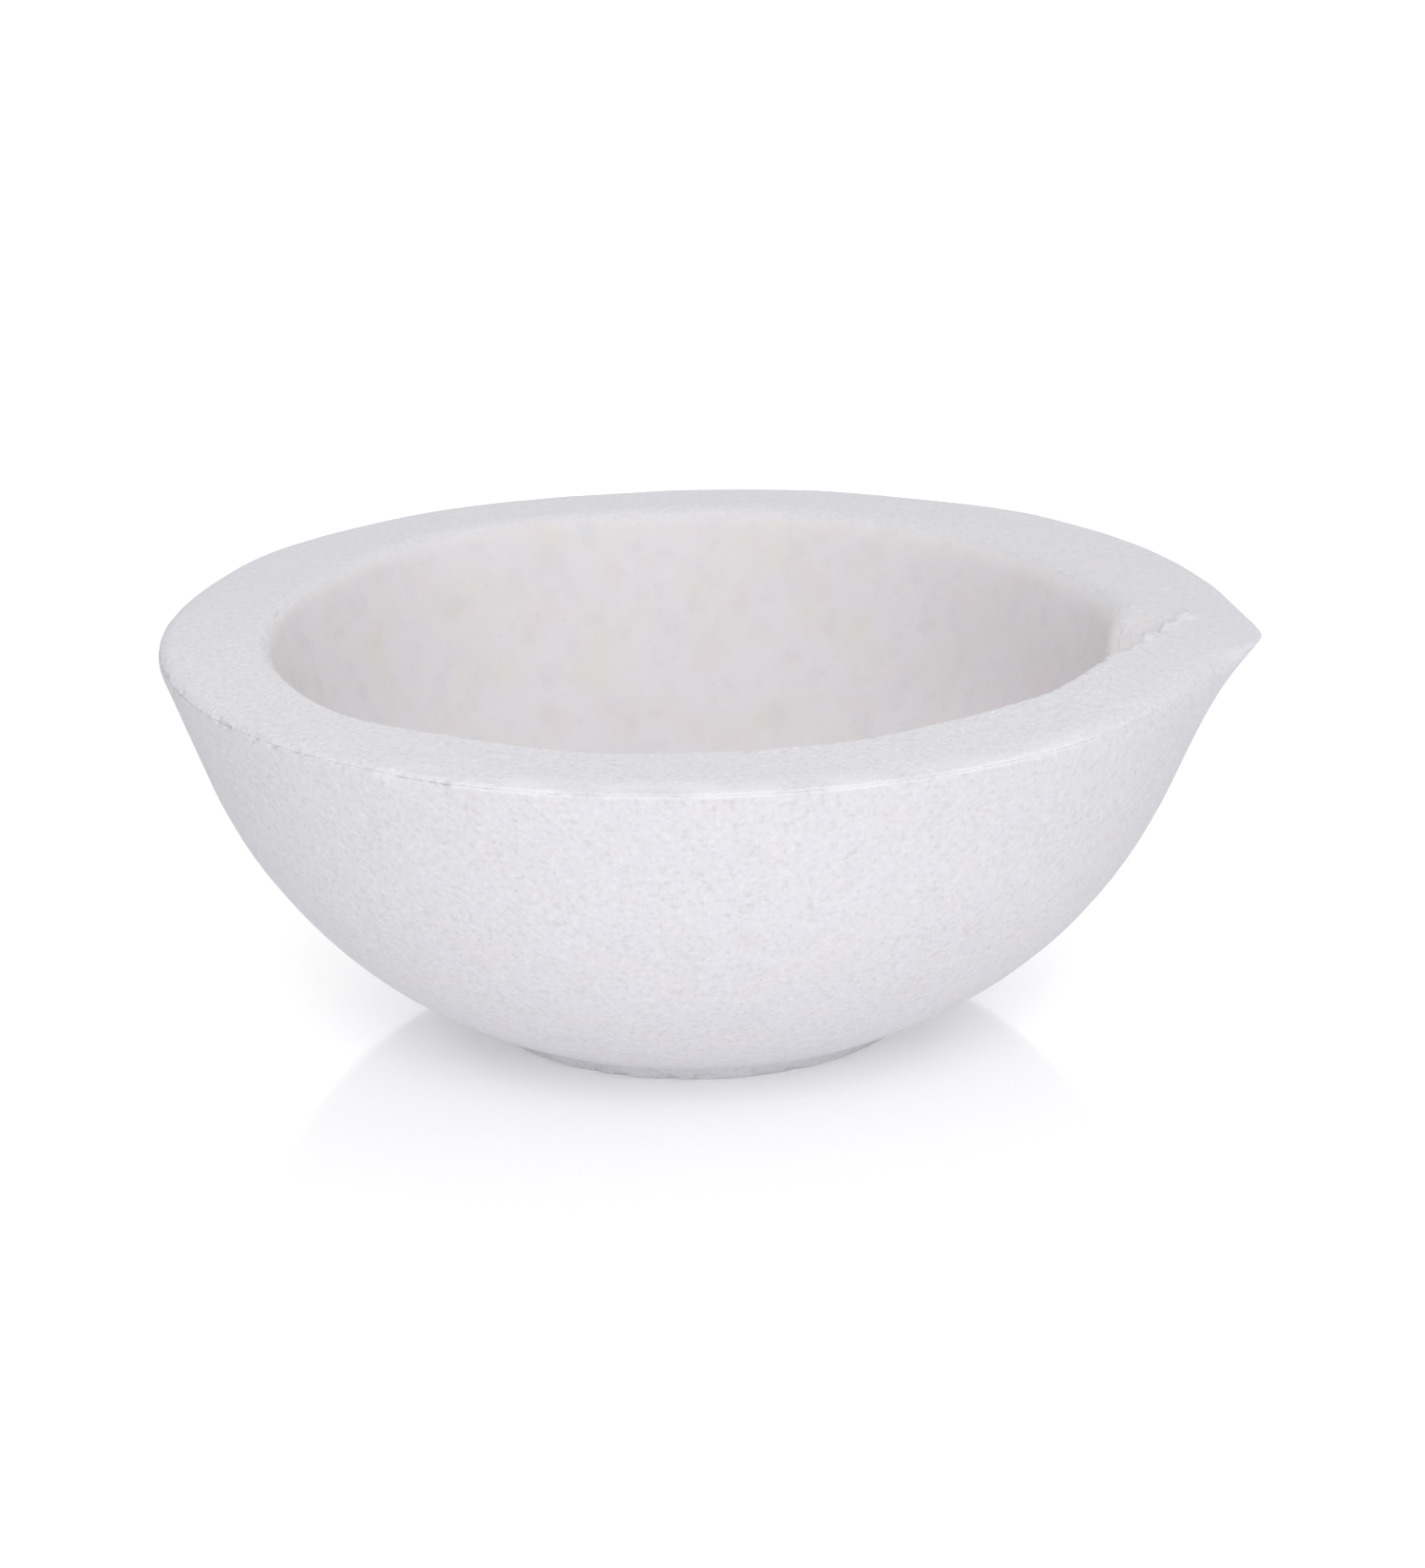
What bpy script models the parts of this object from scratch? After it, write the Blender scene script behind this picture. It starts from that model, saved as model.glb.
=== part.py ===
"""Thick-walled pouring dish of cast and fired silica: one piece, with a foot, a beak and a pouring notch.

Metres, +Z up. The origin is the centre of the foot's underside, and the beak points along +X.
"""

import math

import bmesh
import bpy
from mathutils import Matrix, Vector

# Driving dimensions
HEIGHT = 0.0457  # foot's underside to the rim's flat top
RIM_CORNER_RADIUS = 0.0606  # where the outer wall's line meets the rim's top, before the edge is rounded
WALL = 0.0112  # wall thickness, square to the surface
WALL_LEAN = math.radians(20.7)  # how far the straight upper wall leans in from upright, going down
STRAIGHT_DEPTH = 0.0143  # height of the straight upper wall, below which the body is an arc
BODY_RADIUS = 0.0515  # radius of that arc
FOOT_RADIUS = 0.0262  # where the body meets the foot
FOOT_UNDERCUT = 0.0005  # how much narrower the foot is at its underside
OUTER_EDGE = 0.0016  # rounding of the rim's outer edge
INNER_EDGE = 0.0008  # rounding of the rim's inner edge
FOOT_EDGE = 0.0003  # rounding of the foot's lower edge
TIP_RADIUS = 0.0640  # from the axis to where the beak's two flanks would meet
BEAK_ONSET = 0.0034  # depth to which the beak keeps its full reach
BEAK_FADE = 0.0062  # depth over which the beak's reach then falls to a third
BEAK_NOSE = math.radians(1.2)  # half the angle round the axis over which the beak's keel is rounded
NOTCH_LENGTH = 0.0085  # from the notch's point to the rim's inner edge
NOTCH_SLOPE = math.radians(29.2)  # fall of the notch's floor towards the bowl
NOTCH_HALF_ANGLE = math.radians(51.5)  # of the cone that the notch is cut by
NOTCH_CUTTER_LENGTH = 0.0145  # of that cone, which ends inside the bowl, clear of its wall

# Sizes that follow from them
INNER_CORNER_RADIUS = RIM_CORNER_RADIUS - WALL / math.cos(WALL_LEAN)
RIM_RADIUS = RIM_CORNER_RADIUS - OUTER_EDGE / 2  # widest radius of the round body, to within 0.1 mm

# Fineness of the faceted solid
TURN_STEPS = 96
CORNER_STEPS = 4
ARC_STEPS = 13
WALL_STEPS = 5
NOTCH_STEPS = 64
MERGE_DISTANCE = 0.00001
SHARP_ANGLE = math.radians(35)

FIRED_SILICA = (0.85, 0.84, 0.86, 1.0)
ROUGHNESS = 0.8


def point(radius, height):
    return Vector((radius, height))


def run(start, end, steps):
    """Points from start towards end, without end itself."""
    return [start.lerp(end, step / steps) for step in range(steps)]


def arc(centre, radius, first, last, steps):
    """Points on an arc, from angle first to angle last, both counted from the outward direction."""
    turns = [first + (last - first) * step / steps for step in range(steps + 1)]
    return [centre + radius * point(math.cos(turn), math.sin(turn)) for turn in turns]


def rounded(before, corner, after, radius):
    """Points of the arc that rounds a corner between two straight runs."""
    back = (before - corner).normalized()
    ahead = (after - corner).normalized()
    half = back.angle(ahead) / 2
    centre = corner + (back + ahead).normalized() * radius / math.sin(half)
    first = corner + back * radius / math.tan(half) - centre
    sweep = math.copysign(math.pi - 2 * half, ahead.cross(back))
    points = []
    for step in range(CORNER_STEPS + 1):
        turn = sweep * step / CORNER_STEPS
        cosine, sine = math.cos(turn), math.sin(turn)
        points.append(centre + point(first.x * cosine - first.y * sine, first.x * sine + first.y * cosine))
    return points


def body_profile():
    """Half of the section: up the inside from the axis, over the rim, down the outside and under the foot."""
    downhill = point(-math.sin(WALL_LEAN), -math.cos(WALL_LEAN))
    outward = point(math.cos(WALL_LEAN), -math.sin(WALL_LEAN))
    outer_corner = point(RIM_CORNER_RADIUS, HEIGHT)
    outer_join = outer_corner + downhill * STRAIGHT_DEPTH / math.cos(WALL_LEAN)
    centre = outer_join - outward * BODY_RADIUS
    inner_join = outer_join - outward * WALL
    inner_corner = inner_join - downhill * (HEIGHT - inner_join.y) / math.cos(WALL_LEAN)
    inner_radius = BODY_RADIUS - WALL
    foot_turn = math.acos((FOOT_RADIUS - centre.x) / BODY_RADIUS)
    foot_top = centre + BODY_RADIUS * point(math.cos(foot_turn), -math.sin(foot_turn))
    foot_corner = point(FOOT_RADIUS - FOOT_UNDERCUT, 0)

    inner_edge = rounded(inner_join, inner_corner, outer_corner, INNER_EDGE)
    outer_edge = rounded(inner_corner, outer_corner, outer_join, OUTER_EDGE)
    profile = [point(0, centre.y - inner_radius)]
    profile += arc(centre, inner_radius, -math.pi / 2, -WALL_LEAN, ARC_STEPS)
    profile += run(inner_join, inner_edge[0], WALL_STEPS)[1:]
    profile += inner_edge
    profile += run(inner_edge[-1], outer_edge[0], WALL_STEPS)[1:]
    profile += outer_edge
    profile += run(outer_edge[-1], outer_join, WALL_STEPS + 2)[1:]
    profile += arc(centre, BODY_RADIUS, -WALL_LEAN, -foot_turn, ARC_STEPS)
    profile += rounded(foot_top, foot_corner, point(0, 0), FOOT_EDGE)
    profile.append(point(0, 0))
    return profile


def object_of(name, mesh, collection):
    made = bpy.data.objects.new(name, mesh)
    collection.objects.link(made)
    return made


def turned(name, profile, collection):
    """A solid of revolution: the profile as edges, with a Screw modifier, made a mesh."""
    edges = [(at, at + 1) for at in range(len(profile) - 1)]
    mesh = bpy.data.meshes.new(name + "_profile")
    mesh.from_pydata([(at.x, 0, at.y) for at in profile], edges, [])
    guide = object_of(name + "_profile", mesh, collection)
    screw = guide.modifiers.new("turn", "SCREW")
    screw.steps = TURN_STEPS
    screw.render_steps = TURN_STEPS
    screw.use_merge_vertices = True
    screw.merge_threshold = MERGE_DISTANCE
    bpy.context.view_layer.update()
    solid = bpy.data.meshes.new_from_object(guide.evaluated_get(bpy.context.evaluated_depsgraph_get()))
    bpy.data.objects.remove(guide)
    return solid


def beak_reach(turn, depth):
    """How far the beak stands out from the round body, at a turn round the axis and a depth below the rim.

    Seen from above, the beak is the pair of lines from its tip that touch the rim's circle.
    """
    flank = math.acos(RIM_RADIUS / TIP_RADIUS)
    softened = math.hypot(turn, BEAK_NOSE)
    if softened > flank:
        return 0.0
    reach = RIM_RADIUS / math.cos(flank - softened) - RIM_RADIUS
    return reach * math.exp(-max(0.0, depth - BEAK_ONSET) / BEAK_FADE)


def add_beak(mesh):
    """Pushes the outer wall out to the beak, and shares the push over the rim's flat top."""
    for vertex in mesh.vertices:
        x, y, z = vertex.co
        radius = math.hypot(x, y)
        depth = HEIGHT - z
        if depth < MERGE_DISTANCE:
            across = (radius - INNER_CORNER_RADIUS) / (RIM_CORNER_RADIUS - OUTER_EDGE - INNER_CORNER_RADIUS)
            share = min(1.0, across)
        else:
            wall_middle = RIM_CORNER_RADIUS - depth * math.tan(WALL_LEAN) - WALL / 2
            share = 1.0 if radius > wall_middle else 0.0
        push = share * beak_reach(math.atan2(y, x), depth)
        if push > 0:
            vertex.co.x += push * x / radius
            vertex.co.y += push * y / radius


def notch_cutter(collection):
    """A cone lying with its point on the rim's top, opening towards the bowl and upwards."""
    rise = NOTCH_HALF_ANGLE - NOTCH_SLOPE
    mesh = bpy.data.meshes.new("notch_cutter")
    shape = bmesh.new()
    bmesh.ops.create_cone(
        shape,
        cap_ends=True,
        segments=NOTCH_STEPS,
        radius1=NOTCH_CUTTER_LENGTH * math.tan(NOTCH_HALF_ANGLE),
        radius2=0.0,
        depth=NOTCH_CUTTER_LENGTH,
    )
    bmesh.ops.translate(shape, verts=shape.verts, vec=(0, 0, -NOTCH_CUTTER_LENGTH / 2))
    shape.to_mesh(mesh)
    shape.free()
    tip = Matrix.Translation((INNER_CORNER_RADIUS + NOTCH_LENGTH, 0, HEIGHT))
    mesh.transform(tip @ Matrix.Rotation(math.pi / 2 + rise, 4, "Y"))
    cutter = object_of("notch_cutter", mesh, collection)
    cutter.hide_render = True
    cutter.display_type = "WIRE"
    return cutter


def fired_silica():
    """Unglazed granular white refractory."""
    material = bpy.data.materials.new("fired_silica")
    material.use_nodes = True
    surface = material.node_tree.nodes["Principled BSDF"]
    surface.inputs["Base Color"].default_value = FIRED_SILICA
    surface.inputs["Roughness"].default_value = ROUGHNESS
    surface.inputs["Metallic"].default_value = 0.0
    return material


for old in list(bpy.data.objects):
    bpy.data.objects.remove(old)

parts = bpy.data.collections.new("pouring_dish")
cutters = bpy.data.collections.new("cutters")
cutters.hide_render = True
for group in (parts, cutters):
    bpy.context.scene.collection.children.link(group)

dish_mesh = turned("dish", body_profile(), cutters)
add_beak(dish_mesh)
dish = object_of("dish", dish_mesh, parts)
dish.data.materials.append(fired_silica())
notch = dish.modifiers.new("notch", "BOOLEAN")
notch.operation = "DIFFERENCE"
notch.solver = "EXACT"
notch.object = notch_cutter(cutters)
dish.data.shade_smooth()
dish.data.set_sharp_from_angle(angle=SHARP_ANGLE)
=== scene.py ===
"""A thick-walled pouring dish of cast and fired silica, on a pale floor under soft studio light.

Metres, +Z up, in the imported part's own frame: the foot stands at the origin and the beak points along +X.
"""

import math

import bpy
import numpy as np
from mathutils import Matrix, Vector, noise


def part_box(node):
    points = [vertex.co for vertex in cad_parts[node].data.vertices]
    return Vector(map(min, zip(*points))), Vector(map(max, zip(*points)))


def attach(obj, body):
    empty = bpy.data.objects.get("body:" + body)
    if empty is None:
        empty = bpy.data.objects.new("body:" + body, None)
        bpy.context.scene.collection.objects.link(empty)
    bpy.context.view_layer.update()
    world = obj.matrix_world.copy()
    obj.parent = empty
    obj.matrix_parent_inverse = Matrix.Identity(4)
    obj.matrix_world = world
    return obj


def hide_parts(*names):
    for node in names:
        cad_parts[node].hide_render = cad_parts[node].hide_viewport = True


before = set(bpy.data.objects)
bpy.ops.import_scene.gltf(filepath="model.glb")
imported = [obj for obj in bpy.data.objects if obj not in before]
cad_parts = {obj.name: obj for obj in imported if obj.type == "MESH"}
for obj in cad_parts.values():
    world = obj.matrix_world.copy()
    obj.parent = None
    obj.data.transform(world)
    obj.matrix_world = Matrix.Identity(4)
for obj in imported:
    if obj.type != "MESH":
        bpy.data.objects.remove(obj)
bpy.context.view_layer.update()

# The camera stands a little to the beak's side of square and looks down into the bowl.
# It is a long lens close to level, so the rim is a flat ellipse and the foot's front edge just shows.
dish_low, dish_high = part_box("dish")
rim_centre = Vector((0, 0, dish_high.z))
camera_turn = math.radians(8.5)
camera_rise = math.radians(16.4)
camera_distance = 4.0 * (dish_high.y - dish_low.y)
aim = Vector((0.0020, 0.0003, 0.0261))
camera = bpy.data.objects.new("camera", bpy.data.cameras.new("camera"))
bpy.context.scene.collection.objects.link(camera)
camera.data.lens = 97.3
camera.data.sensor_width = 36.0
camera.data.sensor_fit = "AUTO"
camera.location = rim_centre + camera_distance * Vector((
    math.sin(camera_turn) * math.cos(camera_rise),
    -math.cos(camera_turn) * math.cos(camera_rise),
    math.sin(camera_rise),
))
facing = (aim - camera.location).to_track_quat("-Z", "Y").to_matrix()
level_error = Matrix.Rotation(math.radians(-0.92), 3, "Z")
camera.rotation_euler = (facing @ level_error).to_euler()
bpy.context.scene.camera = camera
bpy.context.scene.view_settings.view_transform = "Standard"

# The dish: one piece of granular white silica, cast in a mould, fired unglazed and dressed by hand.
# Its section is turned round the upright axis. The beak, the notch and the worn edges are worked in after.
height = dish_high.z
corner_radius = dish_high.y + 0.0007  # where the outer wall's line would meet the rim's top
wall_lean = math.radians(20.7)
wall_across = 0.0125  # from that corner to the rim's inner corner
straight_drop = 0.0143
body_radius = 0.0515
foot_radius = 0.0262
foot_taper = 0.0005
segments = 320
arc_points = 60
finest = 0.00016  # spacing of the section's points at a corner
coarsest = 0.0022
coarsest_on_rim = 0.0006
widening = 0.16  # how much the spacing grows with the distance from a corner


def section_line():
    """The half section as a fine line of (radius, height), from the bowl's floor over the rim to the foot.

    It also returns the distances along it of the rim's two corners and the foot's two corners.
    """
    lean, upright = math.sin(wall_lean), math.cos(wall_lean)
    thickness = wall_across * upright
    inner_radius = body_radius - thickness
    outer_join = np.array((corner_radius - straight_drop * math.tan(wall_lean), height - straight_drop))
    centre = outer_join - body_radius * np.array((upright, -lean))
    foot_turn = math.acos((foot_radius - centre[0]) / body_radius)
    floor_to_wall = np.radians(np.linspace(-90, -math.degrees(wall_lean), arc_points))
    wall_to_foot = np.linspace(-wall_lean, -foot_turn, arc_points)
    stretches = [
        [(0, centre[1] - inner_radius)],
        [centre + inner_radius * np.array((math.cos(t), math.sin(t))) for t in floor_to_wall],
        [(corner_radius - wall_across, height)],
        [(corner_radius, height)],
        [centre + body_radius * np.array((math.cos(t), math.sin(t))) for t in wall_to_foot],
        [(foot_radius - foot_taper, 0)],
        [(0, 0)],
    ]
    line = np.array([tuple(place) for stretch in stretches for place in stretch])
    along = np.concatenate([[0], np.cumsum(np.hypot(*np.diff(line, axis=0).T))])
    inner = 1 + len(floor_to_wall)
    foot = inner + 1 + len(wall_to_foot)
    return line, along, along[[inner, inner + 1, foot, foot + 1]]


line, along, corners = section_line()
inner_corner, outer_corner, foot_corner, heel_corner = corners
stations = [0.0]
while stations[-1] < along[-1]:
    nearest = min(abs(stations[-1] - corner) for corner in corners)
    on_rim = inner_corner < stations[-1] < outer_corner
    widest = coarsest_on_rim if on_rim else coarsest
    stations.append(stations[-1] + min(finest + widening * nearest, widest))
for corner in corners:
    stations[int(np.argmin(np.abs(np.array(stations) - corner)))] = corner
stations[-1] = along[-1]
section = [Vector((np.interp(at, along, line[:, 0]), 0, np.interp(at, along, line[:, 1]))) for at in stations]

bpy.ops.object.select_all(action="DESELECT")
bpy.ops.mesh.primitive_plane_add(size=0.01, location=section[0])
body = bpy.context.object
body.name = "dish_body"
bpy.ops.object.transform_apply(location=True, rotation=False, scale=False)
bpy.ops.object.mode_set(mode="EDIT")
bpy.ops.mesh.select_all(action="SELECT")
bpy.ops.mesh.merge(type="CENTER")
for before, after in zip(section, section[1:]):
    bpy.ops.mesh.extrude_vertices_move(TRANSFORM_OT_translate={"value": after - before})
bpy.ops.mesh.select_all(action="SELECT")
bpy.ops.mesh.spin(steps=segments, angle=2 * math.pi, center=(0, 0, 0), axis=(0, 0, 1))
bpy.ops.mesh.select_all(action="SELECT")
bpy.ops.mesh.remove_doubles(threshold=0.000001)
bpy.ops.mesh.normals_make_consistent(inside=False)
bpy.ops.object.mode_set(mode="OBJECT")


def split_faces(chosen):
    """Halves the faces for which chosen(turn, radius, height) holds at their middles, turn in degrees."""
    mesh = body.data
    middles = np.empty(len(mesh.polygons) * 3)
    mesh.polygons.foreach_get("center", middles)
    x, y, z = middles.reshape(-1, 3).T
    mesh.vertices.foreach_set("select", np.zeros(len(mesh.vertices), bool))
    mesh.edges.foreach_set("select", np.zeros(len(mesh.edges), bool))
    mesh.polygons.foreach_set("select", chosen(np.degrees(np.arctan2(y, x)), np.hypot(x, y), z))
    bpy.ops.object.mode_set(mode="EDIT")
    bpy.ops.mesh.select_mode(type="FACE")
    bpy.ops.mesh.subdivide(number_cuts=1)
    bpy.ops.object.mode_set(mode="OBJECT")


# The rim is finer along the front and at the beak, and its inner edge there is finer still.
rim_band, edge_band, edge_width = 0.004, 0.0022, 0.002
mouth_radius = corner_radius - wall_across
split_faces(lambda turn, radius, z: (z > height - rim_band) & (turn > -165) & (turn < 22))
split_faces(lambda turn, radius, z: (z > height - edge_band) & (radius < mouth_radius + edge_width)
            & (turn > -150) & (turn < 14))

# Every point of the turned shape is known by its turn round the axis and its distance along the section.
places = np.empty(len(body.data.vertices) * 3)
body.data.vertices.foreach_get("co", places)
x, y, z = places.reshape(-1, 3).T
turn = np.arctan2(y, x)
degrees = np.degrees(turn)
radius = np.hypot(x, y)
starts, steps = line[:-1], np.diff(line, axis=0)
lengths = np.hypot(*steps.T)
here = np.stack([radius, z], -1)
at = np.empty(len(here))
at_once = 4000
for first in range(0, len(here), at_once):
    part = here[first:first + at_once, None, :]
    share = np.clip(((part - starts) * steps).sum(-1) / lengths**2, 0, 1)
    away = np.hypot(*np.moveaxis(part - starts - share[..., None] * steps, -1, 0))
    best = away.argmin(1)
    rows = np.arange(len(best))
    at[first:first + at_once] = along[best] + share[rows, best] * lengths[best]
from_inner = at - inner_corner  # minus on the bowl's wall, plus on the rim's top
from_outer = at - outer_corner  # minus on the rim's top, plus on the outer wall
on_top = (from_inner >= 0) & (from_outer <= 0)


def smooth(low, high, value):
    """0 at low and 1 at high, eased at both ends."""
    share = np.clip((value - low) / (high - low), 0, 1)
    return share * share * (3 - 2 * share)


def round_the_axis(knots):
    """A value for every point, eased between (degrees, value) knots that go once round the axis."""
    angles = np.array([knot[0] for knot in knots] + [knots[0][0] + 360.0])
    values = np.array([knot[1] for knot in knots] + [knots[0][1]])
    wrapped = (degrees - angles[0]) % 360 + angles[0]
    below = np.clip(np.searchsorted(angles, wrapped, "right") - 1, 0, len(knots) - 1)
    share = smooth(angles[below], angles[below + 1], wrapped)
    return values[below] * (1 - share) + values[below + 1] * share


def lumps(size, seed):
    """Random soft lumps of about that size, from -1 to 1, at every point."""
    shift = Vector((seed * 7.3, seed * 3.1, seed * 5.7))
    return np.array([noise.noise(Vector(place) / size + shift) for place in zip(x, y, z)])


# The bowl was dressed by hand, so its mouth is not quite round.
mouth = 0.001 * round_the_axis([
    (-175, -0.4), (-150, 0.0), (-130, 0.7), (-112, -0.8), (-95, -0.4), (-78, -1.4), (-62, -1.2),
    (-48, -1.8), (-25, -0.8), (10, 0.0), (36, -1.3), (65, -0.6), (91, 0.3), (135, 0.9), (167, -0.8),
])
fades_down, fades_out = 0.030, 0.006  # down the bowl's wall, and out over the rim's top
fading = np.where(from_inner < 0, smooth(-fades_down, 0, from_inner), smooth(fades_out, 0, from_inner))
radius += mouth * fading

# The beak: a keel at its tip, a straight flank on the near side and a hollow-backed one on the far side.
beak_reach = 0.0036
beak_depth = 0.0063
near_flank, far_flank, nose = 21.0, 9.5, 2.4  # degrees
softened = np.hypot(degrees, nose)
near_reach = beak_reach * (np.clip(near_flank - softened, 0, None) / (near_flank - nose)) ** 2
far_reach = beak_reach * np.exp(-(softened - nose) / far_flank)
reach = np.where(degrees < 0, near_reach, far_reach)
depth = height - z
fade = np.exp(-(np.maximum(0, depth) / beak_depth) ** 1.2)
across_top = smooth(0, wall_across - 0.0015, from_inner)
radius += reach * np.where(on_top, across_top, np.where(from_outer > 0, fade, 0))

# The rim's edges: crisp along the front, where the mould's top closed on it, and on the far side of the
# beak; rubbed soft elsewhere, most of all between the front and the beak. The top falls away a little
# towards most of the outer edge, and the mouth's edge is softest at the far side.
crisp = round_the_axis([
    (-150, 0.1), (-118, 0.35), (-104, 1.0), (-54, 1.0), (-38, 0.3), (-26, 0.0), (-7, 0.0), (-1, 1.0),
    (54, 1.0), (72, 0.3), (110, 0.0), (134, 0.3), (152, 0.7), (172, 0.1),
])
well_rubbed = round_the_axis([(-46, 0.0), (-27, 1.0), (-9, 1.0), (-2, 0.0)])
fall = 0.001 * round_the_axis([
    (-150, 0.25), (-116, 0.15), (-104, 0.4), (-50, 0.35), (-30, 0.1), (-2, 0.0), (54, 0.0), (72, 0.35),
    (100, 0.55), (116, 0.5), (134, 0.2), (152, 0.1), (176, 0.35),
])
usual_round, less_when_crisp, more_when_rubbed = 0.0024, 0.0017, 0.0024
outer_round = usual_round - less_when_crisp * crisp + more_when_rubbed * well_rubbed
near_outer = np.clip(1 - np.abs(from_outer) / outer_round, 0, 1) ** 2
half_corner = (math.pi / 2 - wall_lean) / 2
cut = near_outer * outer_round * math.cos(half_corner) / 2
radius -= cut * math.cos(half_corner)
z -= cut * math.sin(half_corner)
roll_width = 0.0036
roll = fall * np.clip(1 - np.abs(from_outer) / roll_width, 0, 1) ** 1.5
z -= roll
radius -= roll * math.tan(wall_lean) * (from_outer > 0)
inner_round = 0.0014 + 0.001 * round_the_axis([
    (-172, 0.4), (-140, 0.0), (-18, 0.0), (6, 1.6), (50, 2.0), (85, 1.2), (130, 0.8),
])
near_inner = np.clip(1 - np.abs(from_inner) / inner_round, 0, 1) ** 2
half_inner = (math.pi / 2 + wall_lean) / 2
cut = near_inner * inner_round * math.cos(half_inner) / 2
radius += cut * math.cos(half_inner)
z -= cut * math.sin(half_inner)
x, y = radius * np.cos(turn), radius * np.sin(turn)

# The foot's lower edge is broken away unevenly, most at the front.
crumbs = lumps(0.0021, 1) + 0.5 * lumps(0.0009, 2)
least_bite, bite_more = 0.0006, 0.0008
bitten = least_bite + bite_more * smooth(-0.1, 0.7, crumbs) * round_the_axis([
    (-140, 0.4), (-88, 1.0), (-60, 0.8), (0, 0.4),
])
heel_width = 0.0019
near_heel = np.clip(1 - np.abs(at - heel_corner) / heel_width, 0, 1) ** 1.5
radius -= near_heel * bitten * 0.7
z += near_heel * bitten * 0.5 * (at < heel_corner + 0.0004)

# The bowl's front edge crumbles where the mouth was cut.
crumbs = lumps(0.0011, 3) + 0.6 * lumps(0.0006, 4)
deepest_bite = 0.00042
bite = deepest_bite * smooth(0.0, 0.8, crumbs) * round_the_axis([
    (-165, 0.4), (-130, 1.0), (-20, 1.0), (20, 0.3), (110, 0.2),
])
near_inner = np.clip(1 - np.abs(from_inner) / 0.0013, 0, 1)
radius += bite * near_inner
z -= bite * near_inner

# The front's outer edge crumbles in the same way where the flat top is sharpest.
crumbs = lumps(0.0010, 12) + 0.7 * lumps(0.0005, 13)
deepest_bite = 0.00038
bite = deepest_bite * smooth(0.05, 0.8, crumbs) * round_the_axis([
    (-172, 0.2), (-150, 1.0), (-108, 0.9), (-90, 0.2), (-50, 0.3), (-40, 0.0), (110, 0.0), (165, 0.1),
])
near_edge = np.clip(1 - np.abs(from_outer - 0.0002) / 0.0012, 0, 1)
radius -= bite * near_edge
z -= 0.7 * bite * near_edge
x, y = radius * np.cos(turn), radius * np.sin(turn)

# The pouring notch: a trough that opens from its end near the beak's tip to the mouth. Its near side is
# steep and breaks the rim in a rough crest; its far side is a gentle slope.
notch_end = (0.0552, 0.0066)
far_side, near_side = 149.0, 245.0  # degrees, seen from that end
notch_fall = 0.43  # how far the trough drops for each metre from its end
top_margin = 0.001  # the notch stops this far short of the rim's outer edge
crest_width, crest_height = 0.0013, 0.0007
away = np.hypot(x - notch_end[0], y - notch_end[1])
bearing = np.degrees(np.arctan2(y - notch_end[1], x - notch_end[0])) % 360 + 4.5 * lumps(0.0026, 9)
share = np.clip((bearing - far_side) / (near_side - far_side), 0, 1)
trough = share**1.5 * (1 - share) ** 0.45 / 0.35
sunk = notch_fall * (np.hypot(away, 0.0012) - 0.0012) * trough
sunk *= (from_outer < -top_margin) * smooth(0.0215, 0.0115, away)
floor_height = height - sunk
blend_over = np.minimum(0.0009 + 0.0090 * smooth(0, -0.0020, from_inner), sunk) + 1e-9
overlap = np.clip(1 - np.abs(z - floor_height) / blend_over, 0, 1)
carved = np.minimum(z, floor_height) - overlap**2 * blend_over / 4
notch_mask = smooth(0.0002, 0.0012, z - carved)
z = np.where(sunk > 0, carved, z)
off_near_side = np.abs(bearing - near_side)
off_crest = away * np.sin(np.radians(np.clip(off_near_side, 0, 90)))
on_crest = np.exp(-(off_crest / crest_width) ** 2) * smooth(0.0155, 0.010, away) * (off_near_side < 90)
on_crest *= (from_inner > -0.0006) * (from_outer < -top_margin)
z += on_crest * crest_height * (0.4 + 1.4 * lumps(0.0022, 5) + 0.8 * lumps(0.0010, 6))

# Chips and pits: (turn, radius, depth below the rim, size, how far it is sunk), lengths in millimetres.
# Each is pushed in towards a point inside the rim at the same turn.
heart_radius, heart_depth = 0.050, 0.008
pits = [
    (-139.0, 60.2, 0.4, 1.0, 0.40), (-124.7, 60.3, 0.5, 0.9, 0.40), (-119.3, 60.3, 0.5, 0.8, 0.35),
    (-73.6, 60.2, 0.4, 0.7, 0.30), (-68.1, 59.2, 3.3, 0.5, 0.30), (-74.8, 48.1, 0.3, 0.9, 0.40),
    (-68.5, 48.1, 0.3, 0.8, 0.35), (-79.8, 52.1, 0.0, 0.6, 0.25), (25.6, 52.2, 0.0, 0.9, 0.30),
    (177.8, 58.5, 0.2, 0.8, 0.25), (2.5, 57.6, 0.0, 1.1, 0.30), (4.5, 56.4, 0.0, 0.8, 0.25),
    (0.5, 59.0, 0.0, 0.7, 0.20), (-88.0, 25.9, 44.8, 1.0, 0.45), (-80.0, 25.9, 44.8, 0.9, 0.45),
    (-103.0, 26.2, 44.4, 1.4, 0.70), (-95.0, 60.2, 0.4, 0.6, 0.25), (-58.0, 60.2, 0.4, 0.6, 0.25),
]
ragged = 1 + 0.35 * lumps(0.0006, 7)
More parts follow.
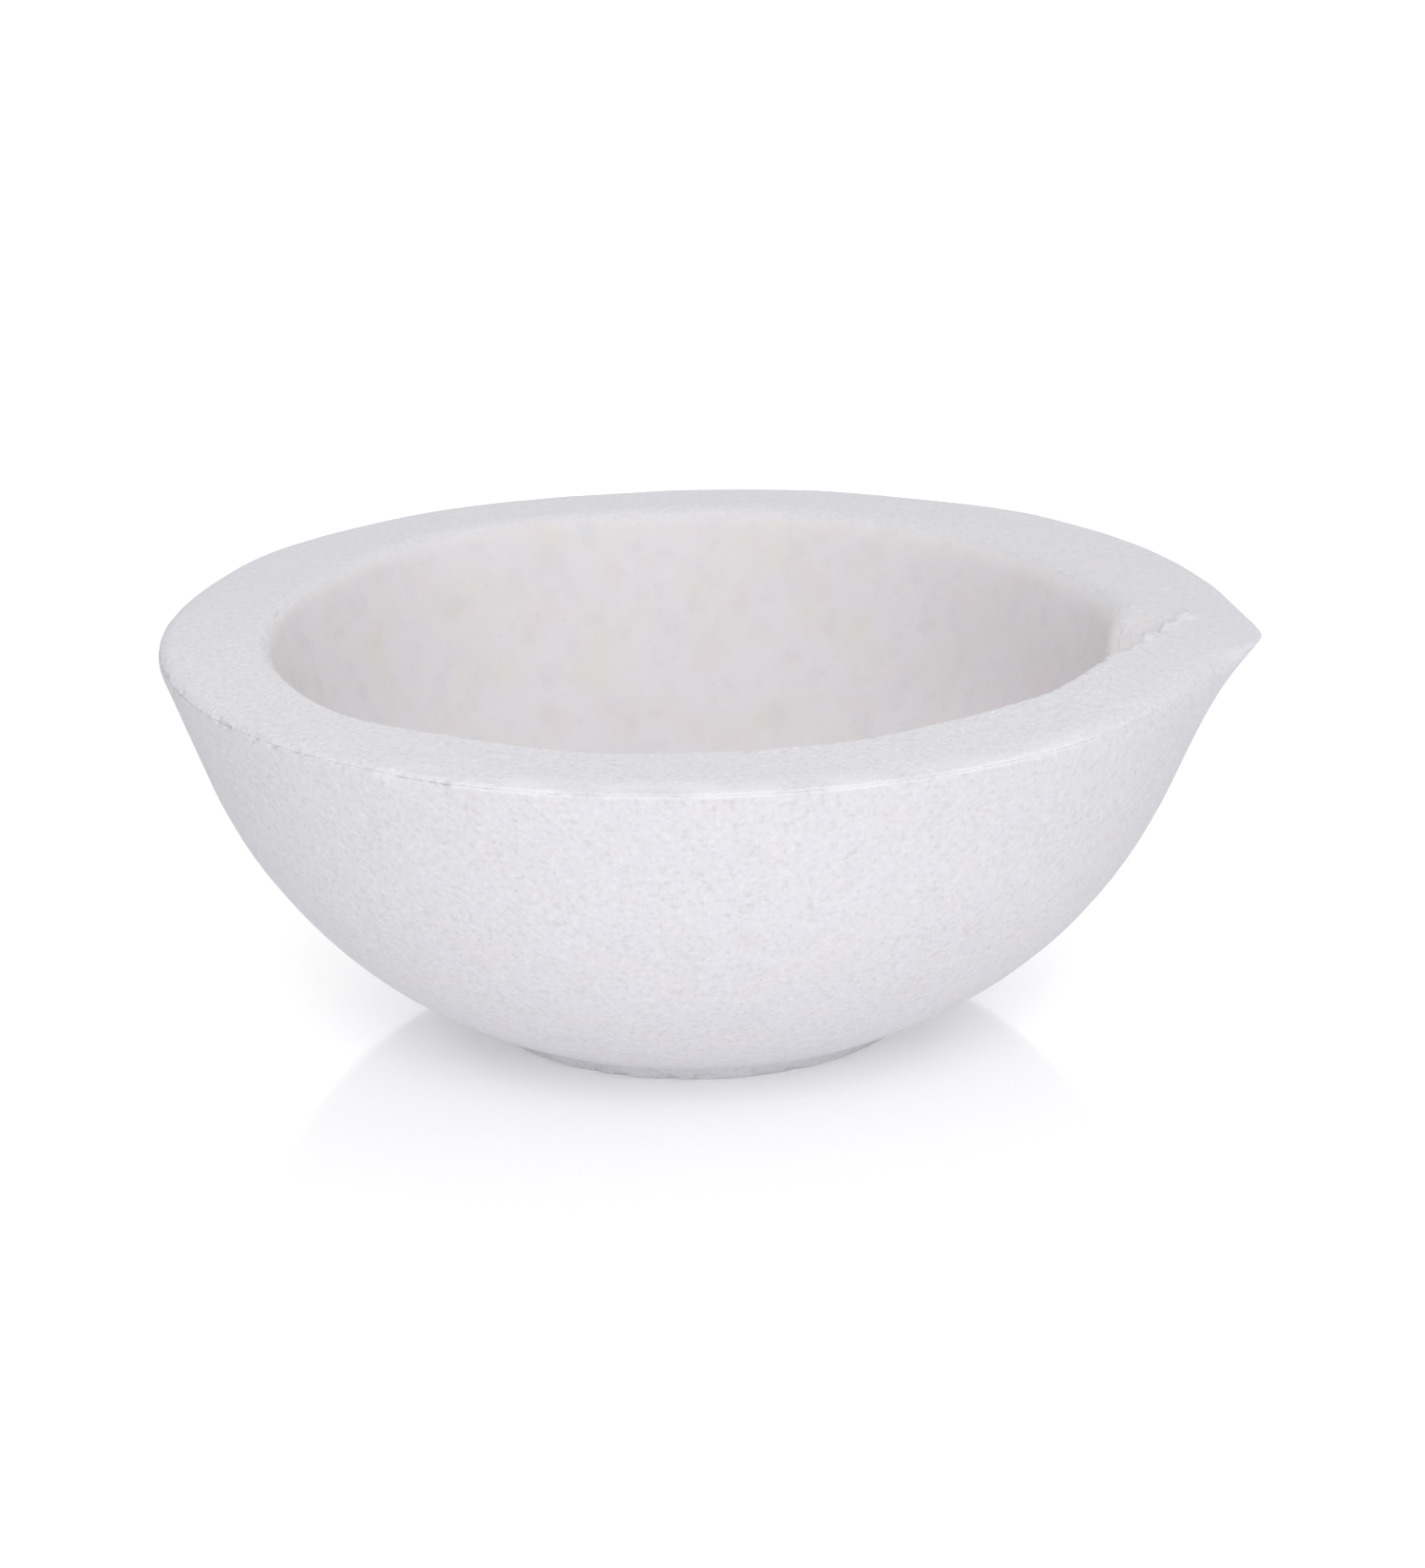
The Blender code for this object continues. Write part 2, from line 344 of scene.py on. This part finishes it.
for pit_turn, pit_radius, pit_depth, size, sink in pits:
    across = math.radians(pit_turn)
    pit = np.array((
        0.001 * pit_radius * math.cos(across),
        0.001 * pit_radius * math.sin(across),
        height - 0.001 * pit_depth,
    ))
    heart = np.array((heart_radius * math.cos(across), heart_radius * math.sin(across), height - heart_depth))
    inward = (heart - pit) / np.linalg.norm(heart - pit)
    distance = np.sqrt((x - pit[0]) ** 2 + (y - pit[1]) ** 2 + (z - pit[2]) ** 2) * ragged
    push = 0.001 * sink * np.clip(1 - (distance / (0.001 * size)) ** 2, 0, 1) ** 1.3
    x, y, z = x + push * inward[0], y + push * inward[1], z + push * inward[2]

# One flake is gone from the front edge, down to a small crack in the wall.
edge_of_flake = 0.6 * lumps(0.0015, 8)
flake = smooth(-114.0, -112.0, degrees + edge_of_flake) * smooth(-105.4, -106.0, degrees + edge_of_flake)
flake *= smooth(-0.0013, 0.0002, from_outer) * smooth(0.0024, 0.0021, from_outer + 0.0005 * edge_of_flake)
flake *= 1 - 0.6 * smooth(0.0003, 0.0021, from_outer)
flake_in, flake_down = 0.007, 0.00025  # a share of the radius, and metres
x, y, z = x * (1 - flake_in * flake), y * (1 - flake_in * flake), z - flake_down * flake

body.data.vertices.foreach_set("co", np.stack([x, y, z], -1).ravel())
body.data.update()


def keep(name, values):
    """Stores a number for every point, for the surface's finish to read."""
    body.data.attributes.new(name, "FLOAT", "POINT").data.foreach_set("value", values.astype(np.float32))


# Where the finish differs: in the bowl, on the rim's top, on its open-grained front part, in the painted
# highlights on the front's sharp outer edge and on a paler strip of the top along it, in pale wear on the
# notch's crest and the mouth's front edge, and in the notch.
keep("inside", smooth(0.0004, -0.0012, from_inner) * (1 - 0.5 * notch_mask))
flat_top = smooth(-0.0004, 0.0008, from_inner) * smooth(0.0012, -0.0004, from_outer) * (1 - notch_mask)
open_grain = flat_top * (1 - 0.7 * smooth(-0.030, 0.015, y))
keep("top", flat_top)
keep("sugary", open_grain)
# A painted highlight along the front's sharp outer edge.
ridge_highlight = np.clip(1 - np.abs(from_outer) / 0.0008, 0, 1) * crisp * (1 - flake)
ridge_highlight *= smooth(-0.5, 0.3, lumps(0.0055, 10)) * round_the_axis([
    (-118, 1.0), (-45, 1.0), (-10, 0.3), (90, 0.1),
])
# A painted highlight: a paler strip on the rim's top along the front's outer edge.
highlight_band = smooth(-0.0046, -0.0012, from_outer) * smooth(0.0010, 0.0002, from_outer) * round_the_axis([
    (-116, 0.0), (-104, 1.0), (-78, 1.0), (-50, 0.6), (-34, 0.2), (-20, 0.0),
]) * smooth(-0.6, 0.2, lumps(0.0045, 11))
keep("highlight_band", highlight_band * (1 - flake))
mouth_worn = near_inner * (z > height - 0.002) * round_the_axis([
    (-165, 0.1), (-130, 0.5), (-30, 0.5), (0, 0.0),
])
# One mask: the painted highlight on the front's outer edge, paler wear on the notch's crest and wear along
# the mouth's front edge.
keep("wear_and_highlight", np.clip(ridge_highlight + 0.45 * on_crest + mouth_worn, 0, 1))
keep("notch", notch_mask)

# The casting is never quite true: broad waves all over, and sugary grains on the sawn top of the rim.
grain_steps = 8
sugary_points = body.vertex_groups.new(name="sugary_points")
levels = np.round(np.clip(open_grain, 0, 1) * grain_steps).astype(int)
for level in range(1, grain_steps + 1):
    sugary_points.add(np.flatnonzero(levels == level).tolist(), level / grain_steps, "REPLACE")
for name, size, strength, where in (
    ("waves", 0.022, 0.00036, ""),
    ("dimples", 0.006, 0.00009, ""),
    ("grains", 0.0007, 0.00018, "sugary_points"),
):
    pattern = bpy.data.textures.new(name, "CLOUDS")
    pattern.noise_scale = size
    pattern.noise_depth = 1
    push = body.modifiers.new(name, "DISPLACE")
    push.texture = pattern
    push.texture_coords = "LOCAL"
    push.strength = strength
    push.mid_level = 0.5
    push.vertex_group = where
    bpy.ops.object.modifier_apply(modifier=name)
body.vertex_groups.clear()

# The foot stands flat, so no point of its underside is left below the floor.
body.data.vertices.foreach_get("co", places)
places[2::3] = np.maximum(places[2::3], 0)
body.data.vertices.foreach_set("co", places)
body.data.update()

# Its finish is the bare fired grain: matt, white, a little blue outside and a little warm in the bowl,
# with darker grains and pores through it, painted highlights along the front edge and painted shade on the
# back of the rim's top.
clay = bpy.data.materials.new("fired_silica")
clay.use_nodes = True


class Shade:
    """A value at every point of a surface. Arithmetic on it adds nodes to its material."""

    def __init__(self, socket):
        self.socket = socket
        self.tree = socket.id_data

    def node(self, kind, settings, inputs, output=0):
        made = self.tree.nodes.new(kind)
        for name, setting in settings.items():
            setattr(made, name, setting)
        for place, value in inputs.items():
            if isinstance(value, Shade):
                self.tree.links.new(value.socket, made.inputs[place])
            else:
                made.inputs[place].default_value = value
        return Shade(made.outputs[output])

    def math(self, operation, first, second):
        return self.node("ShaderNodeMath", {"operation": operation}, {0: first, 1: second})

    def __add__(self, other):
        return self.math("ADD", self, other)

    __radd__ = __add__

    def __sub__(self, other):
        return self.math("SUBTRACT", self, other)

    def __rsub__(self, other):
        return self.math("SUBTRACT", other, self)

    def __mul__(self, other):
        return self.math("MULTIPLY", self, other)

    __rmul__ = __mul__

    def ramp(self, low, high):
        """0 below low, 1 above high, eased between. With low above high it falls instead."""
        swap = low > high
        places = {0: self, 1: min(low, high), 2: max(low, high), 3: float(swap), 4: float(not swap)}
        return self.node("ShaderNodeMapRange", {"interpolation_type": "SMOOTHSTEP"}, places)

    def tint(self, colour, amount):
        """This colour, turned towards another by an amount from 0 to 1."""
        return self.node("ShaderNodeMix", {"data_type": "RGBA"}, {0: amount, 6: self, 7: colour}, 2)


surface = clay.node_tree.nodes["Principled BSDF"]
place = Shade(clay.node_tree.nodes.new("ShaderNodeTexCoord").outputs["Object"])


def clouds(size, detail=2.0, roughness=0.5):
    """Soft noise from 0 to 1 with lumps of about that size in metres."""
    inputs = {"Vector": place, "Scale": 1 / size, "Detail": detail, "Roughness": roughness}
    return place.node("ShaderNodeTexNoise", {}, inputs)


def specks(size, spacing, how_many, seed):
    """Round spots of about that size, in a share of the cells of a random net of that spacing."""
    shifted = place.node("ShaderNodeVectorMath", {"operation": "ADD"}, {0: place, 1: (seed, seed, seed)})
    net = {"Vector": shifted, "Scale": 1 / spacing}
    near = shifted.node("ShaderNodeTexVoronoi", {}, net)
    chance = shifted.node("ShaderNodeTexVoronoi", {}, net, 1)
    chosen = chance.node("ShaderNodeSeparateColor", {}, {0: chance})
    spread = size / spacing / 2
    return near.ramp(spread, spread * 0.4) * chosen.ramp(1 - how_many, 1 - how_many + 0.05)


def stored(name):
    """The number of that name that was kept for every point."""
    return place.node("ShaderNodeAttribute", {"attribute_name": name}, {}, 2)


inside, top, wear_and_highlight, highlight_band = stored("inside"), stored("top"), stored("wear_and_highlight"), stored("highlight_band")
notch, sugary = stored("notch"), stored("sugary")
outside = 1 - inside

# The paler white serves grains and the painted highlights; the pore grey serves pores, grains and the painted
# shade on the rim's top.
cool_white = (0.682, 0.674, 0.713, 1.0)
warm_white = (0.710, 0.686, 0.704, 1.0)
cream = (0.706, 0.674, 0.650, 1.0)
rose = (0.706, 0.652, 0.672, 1.0)
slate = (0.655, 0.660, 0.680, 1.0)
pore_and_shade_grey = (0.500, 0.487, 0.497, 1.0)
grain_and_highlight_white = (0.800, 0.790, 0.812, 1.0)
rust = (0.700, 0.560, 0.490, 1.0)

fine = clouds(0.00068, 2.5, 0.65)
coarse = clouds(0.0030, 2.0)
pores = specks(0.0006, 0.0014, 0.16, 0.31)
colour = place.node("ShaderNodeMix", {"data_type": "RGBA"}, {0: inside, 6: cool_white, 7: warm_white}, 2)
colour = colour.tint(cream, clouds(0.007, 3.0).ramp(0.46, 0.66) * (inside * 0.42 + notch * 0.9 + 0.10))
colour = colour.tint(rose, clouds(0.0052, 2.0).ramp(0.52, 0.70) * (inside * 0.45 + notch * 0.5 + 0.08))
colour = colour.tint(slate, clouds(0.0045, 1.0).ramp(0.55, 0.75) * inside * 0.6)
dark_grain = (outside * 0.38 - top * 0.29 + sugary * 0.36 + 0.05) * (1 - highlight_band * 0.6)
colour = colour.tint(pore_and_shade_grey, fine.ramp(0.49, 0.26) * dark_grain)
colour = colour.tint(pore_and_shade_grey, coarse.ramp(0.48, 0.26) * (inside * 0.12 + outside * 0.10 - top * 0.06))
colour = colour.tint(grain_and_highlight_white, fine.ramp(0.50, 0.74) * (outside * 0.42 - top * 0.16 + sugary * 0.42 + 0.04))
colour = colour.tint(pore_and_shade_grey, pores * (outside * 0.10 - top * 0.05 + 0.06))
colour = colour.tint(pore_and_shade_grey, specks(0.0008, 0.0050, 0.20, 0.77) * (outside * 0.12 + 0.14))
colour = colour.tint(pore_and_shade_grey, specks(0.0020, 0.0046, 0.30, 1.13) * inside * 0.10)
# Painted highlight on the strip along the front edge, and paler open grain on the rim's front top.
colour = colour.tint(grain_and_highlight_white, highlight_band * 0.55 + sugary * 0.24)
# Painted shade: the rim's flat top is greyed, most at the back, away from its open-grained front part.
colour = colour.tint(pore_and_shade_grey, (top - sugary) * 0.14)
colour = colour.tint(cream, notch * 0.3)
# Painted highlight on the front's outer edge, and paler wear on the notch's crest and the mouth's front edge.
colour = colour.tint(grain_and_highlight_white, wear_and_highlight * 0.9)
stain_middle = (0.0133, -0.0515, 0.0268)
off_stain = place.node("ShaderNodeVectorMath", {"operation": "DISTANCE"}, {0: place, 1: stain_middle}, 1)
colour = colour.tint(rust, off_stain.ramp(0.0019, 0.0004) * fine.ramp(0.35, 0.65) * 0.35)
clay.node_tree.links.new(colour.socket, surface.inputs["Base Color"])
surface.inputs["Roughness"].default_value = 0.85
surface.inputs["Specular IOR Level"].default_value = 0.12
grains = fine * (sugary * 0.00014 + outside * 0.00006 + 0.00002)
relief = grains + coarse * 0.00008 - pores * 0.00005
bump = relief.node("ShaderNodeBump", {}, {"Strength": 0.8, "Distance": 1.0, "Height": relief})
clay.node_tree.links.new(bump.socket, surface.inputs["Normal"])
body.data.materials.append(clay)

bpy.ops.object.select_all(action="DESELECT")
body.select_set(True)
bpy.context.view_layer.objects.active = body
bpy.ops.object.shade_smooth()
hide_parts("dish")
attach(body, "root")

# The floor: a plain white table top, faintly glossy, that lets a little light through from below.
bpy.ops.object.select_all(action="DESELECT")
bpy.ops.mesh.primitive_plane_add(size=12.0, location=(0, 0, dish_low.z))
floor = bpy.context.object
floor.name = "floor"
table = bpy.data.materials.new("white_table")
table.use_nodes = True
table_top = table.node_tree.nodes["Principled BSDF"]
table_top.inputs["Base Color"].default_value = (0.92, 0.92, 0.92, 1.0)
table_top.inputs["Roughness"].default_value = 0.09
table_top.inputs["IOR"].default_value = 1.6
table_top.inputs["Emission Color"].default_value = (1, 1, 1, 1)
table_top.inputs["Emission Strength"].default_value = 0.18
floor.data.materials.append(table)

# The light: large soft boxes round the dish, and a white room behind them.
world = bpy.data.worlds.new("studio")
bpy.context.scene.world = world
world.use_nodes = True
world.node_tree.nodes["Background"].inputs["Color"].default_value = (1, 1, 1, 1)
world.node_tree.nodes["Background"].inputs["Strength"].default_value = 0.75
box_distance = 1.6


def soft_box(name, turn, rise, wide, tall, brightness):
    """A lit panel facing the dish, turn degrees to the camera's right and rise degrees up."""
    across, up = camera_turn + math.radians(turn), math.radians(rise)
    lamp = bpy.data.objects.new(name, bpy.data.lights.new(name, "AREA"))
    bpy.context.scene.collection.objects.link(lamp)
    lamp.data.shape = "RECTANGLE"
    lamp.data.size, lamp.data.size_y = wide, tall
    lamp.data.energy = brightness * math.pi * wide * tall
    towards = Vector((math.sin(across) * math.cos(up), -math.cos(across) * math.cos(up), math.sin(up)))
    lamp.location = rim_centre + box_distance * towards
    lamp.rotation_euler = towards.to_track_quat("Z", "Y").to_euler()


soft_box("front_low", 4, 8, 0.7, 0.42, 4.1)
soft_box("front_high", 4, 38, 0.8, 0.7, 4.2)
soft_box("right", 80, 20, 1.0, 1.0, 0.45)
soft_box("overhead", 180, 70, 1.6, 1.0, 0.36)
soft_box("back", 180, 17, 3.0, 0.9, 0.62)

# Black cards hang a little above the floor on both sides of the dish, out of the picture. They keep the
# white room's light off its two sides, which draws them darker.
card_distance = 0.7
gap_below = 0.05
black = bpy.data.materials.new("black_card")
black.use_nodes = True
card_paint = black.node_tree.nodes["Principled BSDF"]
card_paint.inputs["Base Color"].default_value = (0.02, 0.02, 0.02, 1.0)
card_paint.inputs["Roughness"].default_value = 0.9
for side, wide, tall in ((-1, 0.9, 0.28), (1, 0.6, 0.24)):
    bpy.ops.object.select_all(action="DESELECT")
    card_middle = (side * card_distance, 0, gap_below + tall / 2)
    bpy.ops.mesh.primitive_plane_add(size=1.0, location=card_middle, rotation=(0, math.pi / 2, 0))
    card = bpy.context.object
    card.name = "card_left" if side < 0 else "card_right"
    card.dimensions = (tall, wide, 0)
    bpy.ops.object.transform_apply(location=True, rotation=True, scale=True)
    card.rotation_euler = (0, 0, camera_turn)
    bpy.ops.object.transform_apply(location=False, rotation=True, scale=False)
    card.data.materials.append(black)
    card.visible_camera = False
    card.visible_glossy = False
